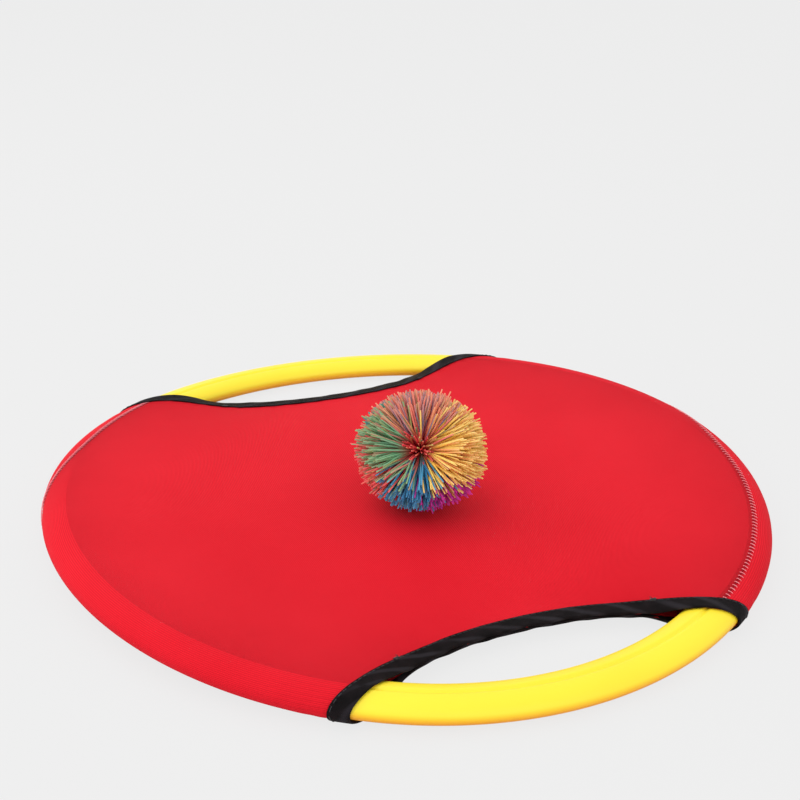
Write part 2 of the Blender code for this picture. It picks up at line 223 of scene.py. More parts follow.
BALL_RIGHT = np.array((0.923, -0.384, 0.0)) / math.hypot(0.923, 0.384)
BALL_UP = np.array((0.0, 0.0, 1.0))
BALL_TOWARDS = np.cross(BALL_RIGHT, BALL_UP)

# Studio
CAMERA_PLACE = (-0.23057, -0.52086, 0.32178)
CAMERA_ANGLES = (65.294, -1.542, -22.633)
CAMERA_LENS = 56.89
CAMERA_SENSOR = 36.0
KEY_PLACE = (-0.75, 0.25, 0.85)
KEY_SIZE = 1.9
KEY_POWER = 10.8
FILL_PLACE = (0.30, -1.60, 1.50)
FILL_SIZE = 1.6
FILL_POWER = 5.0
AMBIENT = 0.84
FLOOR_SIZE = 8.0
FLOOR_LEVEL = 226
BACKDROP_LEVEL = 238
FLOOR_GLOW = 0.92  # share of the floor's look that is its own even colour

CROWN_RADIUS = (HOOP_DIAMETER - HOOP_WIDTH) / 2
SADDLE = HOOP_RISE / 2
FOOT_DROP = HOOP_HEIGHT / 2 * math.cos(math.asin(FOOT_WIDTH / HOOP_WIDTH))
MID_HEIGHT = FOOT_DROP + SADDLE * math.cos(2 * math.pi / CAD_HOOP_STEPS)
FRONT_EDGE = HOOP_DIAMETER / 2 - HOOP_WIDTH - FRONT_GRIP_DEPTH
REAR_EDGE = HOOP_DIAMETER / 2 - HOOP_WIDTH - REAR_GRIP_DEPTH
FRONT_END = math.radians(90 - FRONT_GRIP_ANGLE / 2)
REAR_END = math.radians(90 - REAR_GRIP_ANGLE / 2)
FRONT_LEAN = math.radians(FRONT_EDGE_LEAN)
REAR_LEAN = math.radians(REAR_EDGE_LEAN)
JOINED_RADIUS = HOOP_DIAMETER / 2 - HOOP_WIDTH - JOINED_SETBACK
WRAP_CLOTH = 1.9 * HOOP_WIDTH / 2  # the cloth that goes round each rim
FABRIC_OUTSIDE = COVER_CLEARANCE + FABRIC_THICKNESS
BINDING_INSIDE = FABRIC_OUTSIDE + LAYER_GAP
BINDING_OUTSIDE = BINDING_INSIDE + BINDING_THICKNESS


def smooth(low, high, value):
    """0 below low, 1 above high, and an even curve between them."""
    share = np.clip((value - low) / (high - low), 0.0, 1.0)
    return share * share * (3 - 2 * share)


def unit(vectors):
    return vectors / np.linalg.norm(vectors, axis=-1, keepdims=True)


def waves(place, pitch, phase=0.0):
    """An uneven wave from -1 to 1, with this pitch on average."""
    turn = 2 * math.pi * place / pitch + phase
    return (np.sin(turn) + 0.6 * np.sin(0.61 * turn + 1.3) + 0.4 * np.sin(1.73 * turn + 0.4)) / 2


# The surface that everything on the paddle is laid out on


def between_grips(front, rear, row):
    """A value that runs from -front at row -1, through 0 at row 0, to rear at row 1."""
    return (rear + front) / 2 * row + (rear - front) / 2 * row * row


def edge_rate(grip):
    """Metres between rows at a grip's edge, for each unit of row."""
    return (REAR_EDGE + FRONT_EDGE) / 2 + grip * (REAR_EDGE - FRONT_EDGE)


def rim_azimuth(row):
    """Where a row crosses the hoop's crown on the right, as an angle from +X."""
    front_rate = edge_rate(FRONT) / CROWN_RADIUS / math.cos(FRONT_LEAN)
    rear_rate = edge_rate(REAR) / CROWN_RADIUS / math.cos(REAR_LEAN)
    odd = (rear_rate + front_rate) / 2 - (REAR_END + FRONT_END) / 2
    even = (rear_rate - front_rate) / 2 - (REAR_END - FRONT_END)
    place = between_grips(FRONT_END, REAR_END, row)
    return place + odd / 2 * (row**3 - row) + even / 2 * (row**4 - row**2)


def lean_slope(row):
    """How far a row moves along the rim for each metre that it goes outward across the hoop."""
    return -between_grips(math.tan(FRONT_LEAN), math.tan(REAR_LEAN), row)


def row_at(inset, grip):
    """The row that lies this far inside a grip's edge."""
    return grip * (1 - inset / edge_rate(grip))


def inset_of(row):
    """How far a row lies inside the nearer grip's edge."""
    return (1 - np.abs(row)) * np.where(row > 0, edge_rate(REAR), edge_rate(FRONT))


def rim_point(azimuth, turn, lift):
    """Points outside the hoop's section, turned up from the outward direction."""
    half_width, half_height = HOOP_WIDTH / 2, HOOP_HEIGHT / 2
    outward, upward = np.cos(turn) / half_width, np.sin(turn) / half_height
    length = np.hypot(outward, upward)
    radius = CROWN_RADIUS + half_width * np.cos(turn) + lift * outward / length
    height = MID_HEIGHT + SADDLE * np.cos(2 * azimuth)
    height = height + half_height * np.sin(turn) + lift * upward / length
    x, y, height = np.broadcast_arrays(radius * np.cos(azimuth), radius * np.sin(azimuth), height)
    return np.stack([x, y, height], axis=-1)


def turn_rate(turn):
    """Metres along the hoop's section for each radian of turn."""
    return np.hypot(HOOP_WIDTH / 2 * np.sin(turn), HOOP_HEIGHT / 2 * np.cos(turn))


def wrap_point(row, rim, turn, lift):
    """Points on a row where it goes round the hoop, leaning away from the nearer grip."""
    outward = HOOP_WIDTH / 2 * np.cos(turn)
    azimuth = rim_azimuth(row) + lean_slope(row) * outward / CROWN_RADIUS
    return rim_point(azimuth if rim == RIGHT else math.pi - azimuth, turn, lift)


def span_plan(row, share):
    """Plan position on a row, from share -1 at the left crown of the hoop to 1 at the right one."""
    azimuth, slope = rim_azimuth(row), lean_slope(row)
    out_x, out_y = np.cos(azimuth), np.sin(azimuth)
    end_x, end_y = CROWN_RADIUS * out_x, CROWN_RADIUS * out_y
    turn = EDGE_TURN / np.hypot(1.0, slope)
    arrive_x = end_x - turn * (out_x - slope * out_y)
    arrive_y = end_y - turn * (out_y + slope * out_x)
    middle_y = between_grips(FRONT_EDGE, REAR_EDGE, row)
    s = np.abs(share)
    leave_weight, arrive_weight = 3 * s * (1 - s) ** 2, 3 * s * s * (1 - s)
    x = EDGE_STRAIGHTNESS * end_x * leave_weight + arrive_x * arrive_weight + end_x * s**3
    y = middle_y * ((1 - s) ** 3 + leave_weight) + arrive_y * arrive_weight + end_y * s**3
    return np.copysign(x, share), y


def half_gap(row, radius):
    """From the paddle's middle surface to where the hoop's height would carry a panel."""
    drawn = 1 - smooth(JOINED_RADIUS * row * row, CROWN_RADIUS, radius)
    drawn = drawn * (CENTRE_DIP + (1 - CENTRE_DIP) * row * row)
    joined = LAYER_GAP / 2 - COVER_CLEARANCE
    return HOOP_HEIGHT / 2 * (1 - drawn) + joined * drawn


def middle_height(x, y):
    return MID_HEIGHT + SADDLE * (x * x - y * y) / CROWN_RADIUS**2


def span_point(row, share, lift, side):
    """Points on a panel where it is stretched across the hoop."""
    x, y = span_plan(row, share)
    height = middle_height(x, y) + side * (half_gap(row, np.hypot(x, y)) + lift)
    return np.stack(np.broadcast_arrays(x, y, height), axis=-1)


def cover_top(x, y):
    """Height of the top panel's outside near the middle of the paddle."""
    row = 2 * y / (FRONT_EDGE + REAR_EDGE)
    return middle_height(x, y) + half_gap(row, np.hypot(x, y)) + FABRIC_OUTSIDE


def seam_turn(row, rim):
    """Where a seam lies on the hoop's section: high at the front right and the rear left."""
    azimuth = rim * np.degrees(rim_azimuth(row))
    lowered = smooth(SEAM_TURN_START[rim], SEAM_TURN_END[rim], azimuth)
    return np.radians(SEAM_HIGH + (SEAM_LOW - SEAM_HIGH) * lowered)


# Meshes


def add_piece(name, mesh, material, replaced=()):
    """A finished piece, riding on the paddle's one body."""
    piece = bpy.data.objects.new(name, mesh)
    bpy.context.scene.collection.objects.link(piece)
    mesh.materials.append(material)
    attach(piece, "root")
    if replaced:
        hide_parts(*replaced)
    return piece


def mesh_of(name, points, faces, smooth_angle=50.0):
    mesh = bpy.data.meshes.new(name)
    mesh.from_pydata(np.asarray(points, float).reshape(-1, 3).tolist(), [], faces)
    bm = bmesh.new()
    bm.from_mesh(mesh)
    bmesh.ops.recalc_face_normals(bm, faces=bm.faces)
    bm.to_mesh(mesh)
    bm.free()
    if smooth_angle:
        mesh.shade_smooth()
        mesh.set_sharp_from_angle(angle=math.radians(smooth_angle))
    return mesh


def quads(a, b, c, d):
    return np.stack([a, b, c, d], axis=-1).reshape(-1, 4).tolist()


def loop_mesh(name, points):
    """A closed tube through a grid of points that wraps round both ways."""
    index = np.arange(points.shape[0] * points.shape[1]).reshape(points.shape[:2])
    across, along = np.roll(index, -1, axis=1), np.roll(index, -1, axis=0)
    both = np.roll(across, -1, axis=0)
    return mesh_of(name, points, quads(index, across, both, along), 60.0)


def sheet_mesh(name, outer, inner):
    """A sheet with these two faces, closed round its border."""
    rows, columns = outer.shape[:2]
    a = np.arange(rows * columns).reshape(rows, columns)
    b = a + rows * columns
    faces = quads(a[:-1, :-1], a[:-1, 1:], a[1:, 1:], a[1:, :-1])
    faces += quads(b[:-1, :-1], b[1:, :-1], b[1:, 1:], b[:-1, 1:])
    for near, far in ((a[0], b[0]), (b[-1], a[-1]), (b[:, 0], a[:, 0]), (a[:, -1], b[:, -1])):
        faces += quads(near[:-1], far[:-1], far[1:], near[1:])
    return mesh_of(name, np.concatenate([outer.reshape(-1, 3), inner.reshape(-1, 3)]), faces)


def tube_parts(paths, radii, sides, side_way, start=0):
    """Points and faces of capped tubes. Paths are tubes by steps, side_way a vector for each."""
    along = unit(np.gradient(paths, axis=1))
    first = unit(np.cross(along, side_way[:, None, :]))
    second = np.cross(along, first)
    angles = 2 * np.pi * (np.arange(sides) + 0.5) / sides
    rings = paths[:, :, None, :] + radii[..., None, None] * (
        first[:, :, None, :] * np.cos(angles)[:, None] + second[:, :, None, :] * np.sin(angles)[:, None]
    )
    count, stations = paths.shape[:2]
    index = start + np.arange(count * stations * sides).reshape(count, stations, sides)
    turned = np.roll(index, -1, axis=2)
    faces = quads(index[:, :-1], turned[:, :-1], turned[:, 1:], index[:, 1:])
    faces += index[:, 0, ::-1].tolist() + index[:, -1].tolist()
    return rings.reshape(-1, 3), faces


# Materials


def linear(*levels):
    """A colour given as it shows on a screen, 0 to 255."""
    shares = [level / 255 for level in levels]
    return tuple(s / 12.92 if s <= 0.04045 else ((s + 0.055) / 1.055) ** 2.4 for s in shares)


def new_material(name, roughness, fixed=None):
    """A material whose shader has these fixed values."""
    material = bpy.data.materials.new(name)
    material.use_nodes = True
    shader = material.node_tree.nodes["Principled BSDF"]
    shader.inputs["Roughness"].default_value = roughness
    for socket, value in (fixed or {}).items():
        shader.inputs[socket].default_value = value
    return material


def node(material, kind, inputs=None, **settings):
    """A new node, with sockets linked or set by their names or numbers."""
    made = material.node_tree.nodes.new("ShaderNode" + kind)
    for name, value in settings.items():
        setattr(made, name, value)
    for key, value in (inputs or {}).items():
        if isinstance(value, bpy.types.NodeSocket):
            material.node_tree.links.new(value, made.inputs[key])
        else:
            made.inputs[key].default_value = value
    return made


def maths(material, operation, first, second=0.0):
    return node(material, "Math", {0: first, 1: second}, operation=operation).outputs[0]


def noise(material, scale, detail=3.0):
    place = node(material, "TexCoord").outputs["Object"]
    return node(material, "TexNoise", {"Scale": scale, "Detail": detail, "Vector": place}).outputs["Fac"]


def ramp(material, value, stops, interpolation="LINEAR"):
    """Colours along a value, given as (position, colour) pairs."""
    made = node(material, "ValToRGB", {"Fac": value})
    made.color_ramp.interpolation = interpolation
    elements = made.color_ramp.elements
    while len(elements) < len(stops):
        elements.new(0.5)
    for element, (position, colour) in zip(elements, stops):
        element.position = position
        element.color = (*colour, 1.0)
    return made.outputs["Color"]


def mix(material, share, first, second, blend="MIX"):
    made = node(material, "Mix", data_type="RGBA", blend_type=blend)
    for socket, value in ((made.inputs[0], share), (made.inputs[6], first), (made.inputs[7], second)):
        if isinstance(value, bpy.types.NodeSocket):
            material.node_tree.links.new(value, socket)
        else:
            socket.default_value = value if socket.type == "VALUE" else (*value, 1.0)
    return made.outputs[2]


def finish_material(material, colour, height, depth, roughness=None):
    """Links a colour, a height in shares of this depth and a roughness to the shader."""
    links = material.node_tree.links
    shader = material.node_tree.nodes["Principled BSDF"]
    links.new(colour, shader.inputs["Base Color"])
    if roughness is not None:
        links.new(roughness, shader.inputs["Roughness"])
    bump = node(material, "Bump", {"Height": height, "Distance": depth, "Strength": 1.0})
    links.new(bump.outputs["Normal"], shader.inputs["Normal"])
    return material


def ridges(material, split, pitch, slant=0.0):
    """Waves from -1 to 1 on the flat cloth. They lean over by the slant for each metre across."""
    place = split.outputs["X"]
    if slant:
        place = maths(material, "ADD", place, maths(material, "MULTIPLY", split.outputs["Y"], slant))
    return maths(material, "SINE", maths(material, "MULTIPLY", place, 2 * math.pi / pitch))


def plastic_material():
    """Satin moulded plastic, with faint flow marks and a fine orange peel. Its colour carries painted
    shade: lemon where it faces up, darker orange on its sides and underside.
    """
    material = new_material("yellow_satin_plastic", 0.38, {"Specular IOR Level": 0.35})
    facing = node(material, "TexCoord").outputs["Normal"]
    upward = node(material, "SeparateXYZ", {"Vector": facing}).outputs["Z"]
    # Painted shade: the colour turns from lemon on faces that point up to darker orange on the sides and
    # underside.
    painted_shade_by_facing = node(material, "MapRange", {"Value": upward, "From Min": -1.0, "From Max": 1.0})
    stops = [(0.30, linear(250, 172, 28)), (0.56, linear(255, 200, 34))]
    stops += [(0.68, linear(255, 218, 44)), (0.80, linear(255, 234, 54))]
    body = ramp(material, painted_shade_by_facing.outputs["Result"], stops)
    cloud = noise(material, 22.0, 2.0)
    colour = mix(material, cloud, body, linear(255, 244, 236), "MULTIPLY")
    peel = noise(material, 1400.0, 2.0)
    rough = node(material, "MapRange", {"Value": noise(material, 90.0), "To Min": 0.33, "To Max": 0.43})
    return finish_material(material, colour, peel, 0.00003, rough.outputs["Result"])


def knit_material():
    """Fine rib stretch knit: columns of small loops that run from mouth to mouth."""
    fixed = {"Sheen Weight": 0.03, "Sheen Roughness": 0.5, "Specular IOR Level": 0.06}
    fixed["Sheen Tint"] = (1.0, 0.40, 0.46, 1.0)
    material = new_material("red_rib_knit", 0.70, fixed)
    place = node(material, "UVMap", uv_map="knit").outputs["UV"]
    split = node(material, "SeparateXYZ", {"Vector": place})
    column = maths(material, "MULTIPLY", split.outputs["X"], 2 * math.pi / KNIT_PITCH)
    course = maths(material, "MULTIPLY", split.outputs["Y"], 2 * math.pi / KNIT_COURSE)
    ridge = maths(material, "COSINE", column)
    slant = maths(material, "ADD", course, maths(material, "MULTIPLY", ridge, 1.6))
    loops = maths(material, "MULTIPLY", maths(material, "SINE", slant), 0.35)
    weave = maths(material, "MULTIPLY", maths(material, "ADD", ridge, loops), 0.5)
    height = maths(material, "ADD", weave, pulled_ribs(material, split))
    # Painted shade: the colour is darker in the hollows between the knit's loops.
    valley = node(material, "MapRange", {"Value": weave, "From Min": -0.6, "From Max": 0.5})
    cloud = noise(material, 14.0, 4.0)
    base = ramp(material, cloud, [(0.30, linear(226, 26, 42)), (0.70, linear(236, 32, 48))])
    knit_in_painted_shade = mix(material, 1.0, base, linear(225, 205, 205), "MULTIPLY")
    colour = mix(material, valley.outputs["Result"], knit_in_painted_shade, base)
    # Painted shade: a dark maroon strip down each seam's valley.
    seam_place = node(material, "UVMap", uv_map="seam").outputs["UV"]
    seam = node(material, "SeparateXYZ", {"Vector": seam_place})
    painted_seam_shade = node(material, "MapRange", {"Value": seam.outputs["X"], "From Min": 0.25, "From Max": 0.75})
    colour = mix(material, painted_seam_shade.outputs["Result"], colour, linear(158, 10, 28))
    return finish_material(material, colour, height, RIB_DEPTH)


def pulled_ribs(material, split):
    """Where the knit is pulled over the hoop beside the tape, its columns stand up as ribs."""
    wave = ridges(material, split, RIB_PITCH)
    come_in = []
    for axis, (start, end) in (("X", RIB_START_ACROSS), ("Y", RIB_START_ALONG)):
        place = maths(material, "ABSOLUTE", split.outputs[axis])
        mapped = node(material, "MapRange", {"Value": place, "From Min": start, "From Max": end})
        come_in.append(mapped.outputs["Result"])
    share = maths(material, "MULTIPLY", *come_in)
    return maths(material, "MULTIPLY", wave, maths(material, "MULTIPLY", share, RIB_SHARE))


def tape_material():
    """Black woven tape: a fine twill, with painted highlights in paler streaks along its slanting folds.
    """
    material = new_material("black_twill_tape", 0.62, {"Specular IOR Level": 0.10})
    place = node(material, "UVMap", uv_map="knit").outputs["UV"]
    split = node(material, "SeparateXYZ", {"Vector": place})
    twill = ridges(material, split, TWILL_PITCH, TWILL_SLANT)
    picks = ridges(material, split, PICK_PITCH)
    height = maths(material, "ADD", twill, maths(material, "MULTIPLY", picks, 0.4))
    cloud = noise(material, 160.0, 4.0)
    worn = ramp(material, cloud, [(0.35, linear(12, 7, 9)), (0.68, linear(28, 20, 23))])
    # Painted highlights: paler streaks along the slanting folds, where light catches them.
    fold = ridges(material, split, BINDING_FOLD_PITCH, HIGHLIGHT_SLANT)
    shine = maths(material, "MULTIPLY", fold, noise(material, 60.0, 2.0))
    lit = node(material, "MapRange", {"Value": shine, "From Min": 0.12, "From Max": 0.55})
    colour = mix(material, lit.outputs["Result"], worn, linear(46, 42, 47))
    return finish_material(material, colour, height, 0.00010)


def thread_material(name, low, high):
    """Spun thread with fine fibres."""
    material = new_material(name, 0.6, {"Sheen Weight": 0.3, "Specular IOR Level": 0.3})
    fibres = noise(material, 3200.0, 4.0)
    colour = ramp(material, fibres, [(0.35, linear(*low)), (0.65, linear(*high))])
    return finish_material(material, colour, fibres, 0.00008)


def strand_material(name, root, shades, tips):
    """Rubber strands: each has a shade of its own, from a common colour near the core to the tips."""
    material = new_material(f"{name}_strand_rubber", 0.50, {"Specular IOR Level": 0.35})
    chance = node(material, "NewGeometry").outputs["Random Per Island"]
    stops = [(i / len(shades), linear(*shade)) for i, shade in enumerate(shades)]
    body = ramp(material, chance, stops, "CONSTANT")
    place = node(material, "TexCoord").outputs["Object"]
    centre = tuple(ball_centre())
    offset = node(material, "VectorMath", {0: place, 1: centre}, operation="SUBTRACT").outputs[0]
    half_size = (BALL_DIAMETER / 2, BALL_DIAMETER / 2, BALL_HEIGHT / 2)
    shares = node(material, "VectorMath", {0: offset, 1: half_size}, operation="DIVIDE").outputs[0]
    share = node(material, "VectorMath", {0: shares}, operation="LENGTH").outputs["Value"]
    from_root = node(material, "MapRange", {"Value": share, "From Min": 0.30, "From Max": 0.58})
    rooted = mix(material, from_root.outputs["Result"], linear(*root), body)
    tip_range = {"Value": share, "From Min": 0.70, "From Max": 1.0, "To Max": 0.7}
    to_tip = node(material, "MapRange", tip_range)
    colour = mix(material, to_tip.outputs["Result"], rooted, linear(*tips))
    skin = noise(material, 900.0, 2.0)
    return finish_material(material, colour, skin, 0.00006)


# Pieces of the paddle


def make_hoop():
    """The moulded ring: an oval section with a shallow groove along its top."""
    azimuth = np.linspace(0.0, 2 * math.pi, HOOP_STEPS, endpoint=False)[:, None]
    turn = np.linspace(0.0, 2 * math.pi, HOOP_SECTION_STEPS, endpoint=False)[None, :]
    across = HOOP_WIDTH / 2 * (1 + np.cos(turn))
    sunk = GROOVE_DEPTH * np.exp(-((2 * (across - GROOVE_INSET) / GROOVE_WIDTH) ** 2))
    points = rim_point(azimuth, turn, -np.where(np.sin(turn) > 0, sunk, 0.0))
    sole = MID_HEIGHT + SADDLE * np.cos(2 * azimuth) - FOOT_DROP
    points[..., 2] = np.maximum(points[..., 2], sole)
    mesh = loop_mesh("moulded_hoop", points)
    add_piece("moulded_hoop", mesh, plastic_material(), ["hoop"])


def panel_grid(side):
    """Rows down, and across each the share on the span and the turn on either wrap."""
    row_count, span_count, wrap_count = PANEL_STEPS[side]
    first, last = (row_at(BINDING_THICKNESS + LAYER_GAP, grip) for grip in (FRONT, REAR))
    row = np.linspace(first, last, row_count + 1)[:, None]
    wrap = np.linspace(0.0, 1.0, wrap_count + 1)[None, :-1]
    share = np.linspace(-1.0, 1.0, span_count + 1)[None, :]
    return row, wrap, share


def panel_points(side, lift, columns):
    """One face of a panel. Lift is a number, or a grid with that many columns."""
    row, wrap, share = panel_grid(side)
    lift = np.broadcast_to(lift, (row.shape[0], columns))
    crown = side * math.pi / 2
    left_turn = seam_turn(row, LEFT) * (1 - wrap) + crown * wrap
    right_turn = (seam_turn(row, RIGHT) * (1 - wrap) + crown * wrap)[:, ::-1]
    count = wrap.shape[1]
    left = wrap_point(row, LEFT, left_turn, lift[:, :count])
    right = wrap_point(row, RIGHT, right_turn, lift[:, -count:])
    span = span_point(row, share, lift[:, count:-count], side)
    return np.concatenate([left, span, right], axis=1)


def panel_relief(side):
    """Puckers along the tape and the valley at each seam, and how deep in that valley it lies, which
    also sets how dark the painted shade there is.
    """
    row, wrap, share = panel_grid(side)
    count = wrap.shape[1]
    inset = inset_of(row) - BINDING_WIDTH
    reach = CROWN_RADIUS * np.cos(rim_azimuth(row))
    along = np.concatenate([-np.ones((1, count)), share, np.ones((1, count))], axis=1) * reach
    near_tape = np.exp(-((np.maximum(inset, 0.0) / PUCKER_REACH) ** 2))
    relief = PUCKER_DEPTH * waves(along, PUCKER_LENGTH, 2.0 * np.sign(row)) * near_tape
    valley = np.zeros_like(relief)
    for rim, columns in ((LEFT, slice(0, count)), (RIGHT, slice(-count, None))):
        seam = seam_turn(row, rim)
        from_seam = wrap if rim == LEFT else wrap[:, ::-1]
        distance = from_seam * np.abs(side * math.pi / 2 - seam) * turn_rate(seam)
        valley[:, columns] = SEAM_SHADE[rim] * np.exp(-((distance / SEAM_VALLEY_WIDTH) ** 2))
    return relief - SEAM_VALLEY_DEPTH * valley, valley


def lay_map(mesh, name, u, v):
    """Gives each corner of a mesh a pair of values, such as its place on the flat cloth in metres."""
    layer = mesh.uv_layers.new(name=name)
    at = np.zeros(len(mesh.loops), np.int32)
    mesh.loops.foreach_get("vertex_index", at)
    layer.uv.foreach_set("vector", np.stack([u[at], v[at]], axis=-1).astype(np.float32).ravel())


def make_panel(name, side, material, replaced):
    row, wrap, share = panel_grid(side)
    relief, valley = panel_relief(side)
    columns = relief.shape[1]
    outer = panel_points(side, FABRIC_OUTSIDE + relief, columns)
    inner = panel_points(side, np.maximum(COVER_CLEARANCE + relief, LAYER_GAP / 3), columns)
    left = -CROWN_RADIUS - WRAP_CLOTH * (1 - wrap)
    across = np.concatenate([left, share * CROWN_RADIUS, -left[:, ::-1]], axis=1)
    u = np.broadcast_to(across, relief.shape).ravel()
    v = np.broadcast_to(between_grips(FRONT_EDGE, REAR_EDGE, row), relief.shape).ravel()
    mesh = sheet_mesh(name, outer, inner)
    lay_map(mesh, "knit", np.tile(u, 2), np.tile(v, 2))
    # The seam map carries each seam's valley, which sets the painted shade there.
    lay_map(mesh, "seam", np.tile(valley.ravel(), 2), np.zeros(2 * valley.size))
    piece = add_piece(name, mesh, material, [replaced])


def loop_places(span_count, wrap_count):
    """The way round a mouth: the share on each panel and the turn at each rim."""
    shares = np.linspace(-1.0, 1.0, span_count + 1)
    turns = np.linspace(math.pi / 2, -math.pi / 2, wrap_count + 1)[1:-1]
    return shares, turns


def mouth_loop(inset, lift, grip, span_count, wrap_count):
    """Points all round one mouth, over the hoop at both ends and back underneath. Inset and lift
    are numbers, or arrays with one value for each point."""
    shares, turns = loop_places(span_count, wrap_count)
    count = 2 * (len(shares) + len(turns))
    inset, lift = np.broadcast_to(inset, count), np.broadcast_to(lift, count)
    cuts = np.cumsum([len(shares), len(turns), len(shares)])
    rows = np.split(row_at(inset, grip), cuts)
    lifts = np.split(lift, cuts)
    return np.concatenate([
        span_point(rows[0], shares, lifts[0], TOP),
        wrap_point(rows[1], RIGHT, turns, lifts[1]),
        span_point(rows[2], shares[::-1], lifts[2], BOTTOM),
        wrap_point(rows[3], LEFT, turns[::-1], lifts[3]),
    ])


def loop_distance(points):
    """Metres along a closed loop of points, from the first."""
    steps = np.linalg.norm(np.roll(points, -1, axis=0) - points, axis=1)
    return np.concatenate([[0.0], np.cumsum(steps)[:-1]]), steps.sum()


def joined_share(points):
    """1 where the two panels lie on each other, and 0 where the mouth is open."""
    radius = np.hypot(points[:, 0], points[:, 1])
    return 1 - smooth(JOINED_RADIUS - JOIN_BLEND, CROWN_RADIUS - JOIN_BLEND, radius)


def tape_lift(inset, distance, joined, grip):
    """Height of the tape's outside over the hoop or panel, with its slanting folds."""
    bulge = np.sin(math.pi * np.clip(inset / BINDING_WIDTH, 0.0, 1.0))
    puff = BINDING_PUFF * (0.15 + 0.85 * joined) * bulge**0.8
    slanted = distance + grip * 1.2 * inset
    folds = BINDING_FOLD_DEPTH * waves(slanted, BINDING_FOLD_PITCH, 1.0 + grip) * bulge
    return BINDING_OUTSIDE + puff + folds * (0.25 + 0.75 * joined)


def tape_section(distance, joined, edge, grip):
    """The outline across a tape, as insets and lifts for each point round the mouth: its outer leaf,
    a round fold and an inner leaf, and back along the cloth that they hold."""
    fold = FOLD_SHARE * BINDING_WIDTH
    lip_low = COVER_CLEARANCE - LAYER_GAP / 2 * joined
    section = []
    for share in np.linspace(1.0, FOLD_SHARE, 12):
        inset = share * BINDING_WIDTH + edge * (1 - share)
        section.append((inset, tape_lift(inset - edge, distance, joined, grip)))
    fold_top = section[-1][1]
    middle, half = (fold_top + lip_low) / 2, (fold_top - lip_low) / 2
    for angle in np.linspace(0.0, math.pi, 7)[1:-1]:
        section.append((fold * (1 - math.sin(angle)) + edge, middle + half * math.cos(angle)))
    inner_width = INNER_LEAF * (1 - joined) + JOINED_LEAF * joined
    inner_low = COVER_CLEARANCE - LEAF_DROP * (1 - joined) - LAYER_GAP / 2 * joined
    section.append((fold + edge, lip_low))
    section.append((inner_width, inner_low))
    section.append((inner_width, COVER_CLEARANCE - TAPE_TO_CLOTH))
    section.append((CLOTH_INSET + edge, COVER_CLEARANCE + TAPE_TO_CLOTH))
    section.append((CLOTH_INSET + edge, FABRIC_OUTSIDE + TAPE_TO_CLOTH))
    for share in np.linspace(0.2, 1.0, 6):
        inset = share * BINDING_WIDTH
        section.append((inset, tape_lift(inset - edge, distance, joined, grip) - BINDING_THICKNESS))
    return section


def make_tape(name, grip, material, thread, replaced):
    """Tape folded over a mouth's edge, with its row of stitches."""
    base = mouth_loop(0.0, 0.0, grip, *TAPE_STEPS)
    distance, length = loop_distance(base)
    joined = joined_share(base)
    edge = BINDING_EDGE_WAVE * waves(distance, BINDING_FOLD_PITCH * 0.9, 0.5 - grip)
    edge = edge * (0.3 + 0.7 * joined)
    section = tape_section(distance, joined, edge, grip)
    rings = np.stack([mouth_loop(inset, lift, grip, *TAPE_STEPS) for inset, lift in section])
    rings[..., 2] = np.maximum(rings[..., 2], LAYER_GAP / 3)
    mesh = loop_mesh(name, rings)
    insets = np.stack([np.broadcast_to(inset, distance.shape) for inset, lift in section])
    lay_map(mesh, "knit", np.tile(distance, len(section)), insets.ravel())
    piece = add_piece(name, mesh, material, [replaced])
    stitches = make_topstitch(f"{name}_stitching", grip, distance, length, joined, thread)


def make_topstitch(name, grip, distance, length, joined, material):
    """The row of machine stitches that holds the tape, just inside its edge."""
    lift = tape_lift(TOPSTITCH_INSET, distance, joined, grip)
    low = mouth_loop(TOPSTITCH_INSET, lift - THREAD_RADIUS, grip, *TAPE_STEPS)
    high = mouth_loop(TOPSTITCH_INSET, lift + THREAD_RADIUS / 2, grip, *TAPE_STEPS)
    starts = np.arange(0.0, length - TOPSTITCH_PITCH, TOPSTITCH_PITCH)
    share = np.linspace(0.0, 1.0, 7)
    at = starts[:, None] + share * TOPSTITCH_LENGTH
    rise = np.sin(math.pi * share)[None, :, None] ** 0.5
    paths = at_distance(low, distance, length, at) * (1 - rise)
    paths = paths + at_distance(high, distance, length, at) * rise
    radii = np.full(at.shape, THREAD_RADIUS)
    ways = np.tile((0.12, 0.23, 0.97), (len(starts), 1))
    points, faces = tube_parts(paths, radii, 6, ways)
    return add_piece(name, mesh_of(name, points, faces), material)


def at_distance(points, distance, length, at):
    """Points on a closed loop at these distances along it."""
    whole = np.concatenate([distance, [length]])
    closed = np.concatenate([points, points[:1]])
    return np.stack([np.interp(at, whole, closed[:, i]) for i in range(3)], axis=-1)


def plied(paths, radius, twist, out_way):
    """Two plies wound round each path."""
    along = unit(np.gradient(paths, axis=1))
    side = unit(np.cross(along, out_way))
    up = np.cross(side, along)
    steps = np.linalg.norm(np.diff(paths, axis=1), axis=-1)
    run = np.concatenate([np.zeros((len(paths), 1)), np.cumsum(steps, axis=1)], axis=1)
    angle = (2 * math.pi * run / twist)[..., None]
    offset = 0.55 * radius * (side * np.cos(angle) + up * np.sin(angle))
    return np.concatenate([paths + offset, paths - offset])


